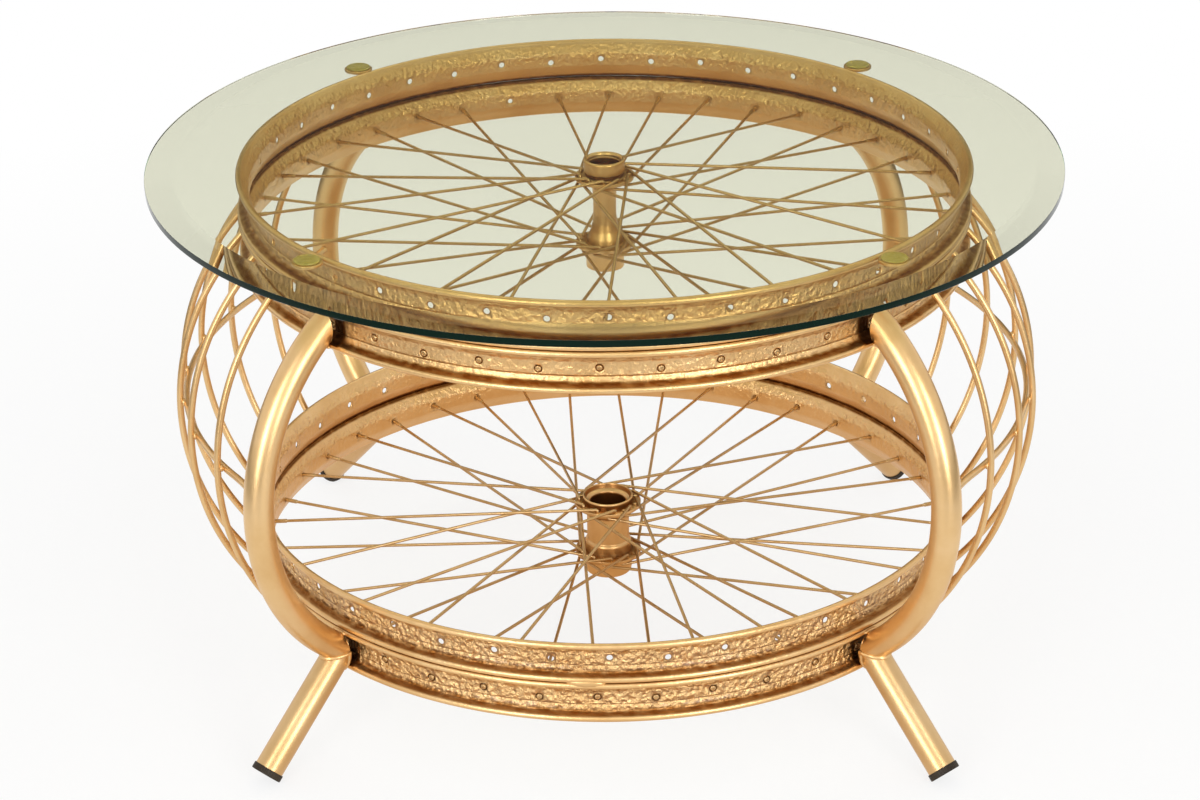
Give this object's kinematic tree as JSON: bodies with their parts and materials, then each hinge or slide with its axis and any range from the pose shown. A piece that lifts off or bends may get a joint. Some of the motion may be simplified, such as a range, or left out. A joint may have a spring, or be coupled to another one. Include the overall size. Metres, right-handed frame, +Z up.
{
  "type": "coffee table",
  "caption": "Round glass-topped coffee table built from stacked spoked bicycle rims, bent tube legs and side cages of curved rods; the glass top lifts off.",
  "frame": {"origin": "on the floor, under the common axis of the wheels", "axes": "+Z up along the wheels' axis, +X to the right, -Y is the front seen in the picture"},
  "size_m": [0.8, 0.8, 0.4672],
  "materials": {
    "gold_paint": "satin gold-bronze spray paint",
    "clear_glass": "clear, bevelled, dark green edge",
    "clear_pad": "clear, slightly yellow",
    "black_plastic": "moulded, matt"
  },
  "bodies": {
    "frame": {"cage_hoop_left": "gold_paint", "cage_hoop_right": "gold_paint", "cage_rod_left_1": "gold_paint", "cage_rod_left_2": "gold_paint", "cage_rod_left_3": "gold_paint", "cage_rod_left_4": "gold_paint", "cage_rod_left_5": "gold_paint", "cage_rod_left_6": "gold_paint", "cage_rod_left_7": "gold_paint", "cage_rod_right_1": "gold_paint", "cage_rod_right_2": "gold_paint", "cage_rod_right_3": "gold_paint", "cage_rod_right_4": "gold_paint", "cage_rod_right_5": "gold_paint", "cage_rod_right_6": "gold_paint", "cage_rod_right_7": "gold_paint", "foot_cap_back_left": "black_plastic", "foot_cap_back_right": "black_plastic", "foot_cap_front_left": "black_plastic", "foot_cap_front_right": "black_plastic", "foot_tube_back_left": "gold_paint", "foot_tube_back_right": "gold_paint", "foot_tube_front_left": "gold_paint", "foot_tube_front_right": "gold_paint", "glass_pad_back_left": "clear_pad", "glass_pad_back_right": "clear_pad", "glass_pad_front_left": "clear_pad", "glass_pad_front_right": "clear_pad", "glass_tab_back_left": "gold_paint", "glass_tab_back_right": "gold_paint", "glass_tab_front_left": "gold_paint", "glass_tab_front_right": "gold_paint", "leg_back_left": "gold_paint", "leg_back_right": "gold_paint", "leg_front_left": "gold_paint", "leg_front_right": "gold_paint", "lower_hub_bottom_cup": "gold_paint", "lower_hub_shell": "gold_paint", "lower_hub_top_cup": "gold_paint", "lower_plain_rim": "gold_paint", "lower_spoked_rim": "gold_paint", "lower_wheel_lower_spokes": "gold_paint", "lower_wheel_upper_spokes": "gold_paint", "upper_hub_bottom_cup": "gold_paint", "upper_hub_shell": "gold_paint", "upper_hub_top_cup": "gold_paint", "upper_plain_rim": "gold_paint", "upper_spoked_rim": "gold_paint", "upper_wheel_lower_spokes": "gold_paint", "upper_wheel_upper_spokes": "gold_paint"},
    "glass": {"glass_top": "clear_glass"}
  },
  "joints": [
    {"name": "glass_lift", "type": "slide", "parent": "frame", "child": "glass", "axis": [0, 0, 1], "range_m": [0, 0.3]}
  ]
}
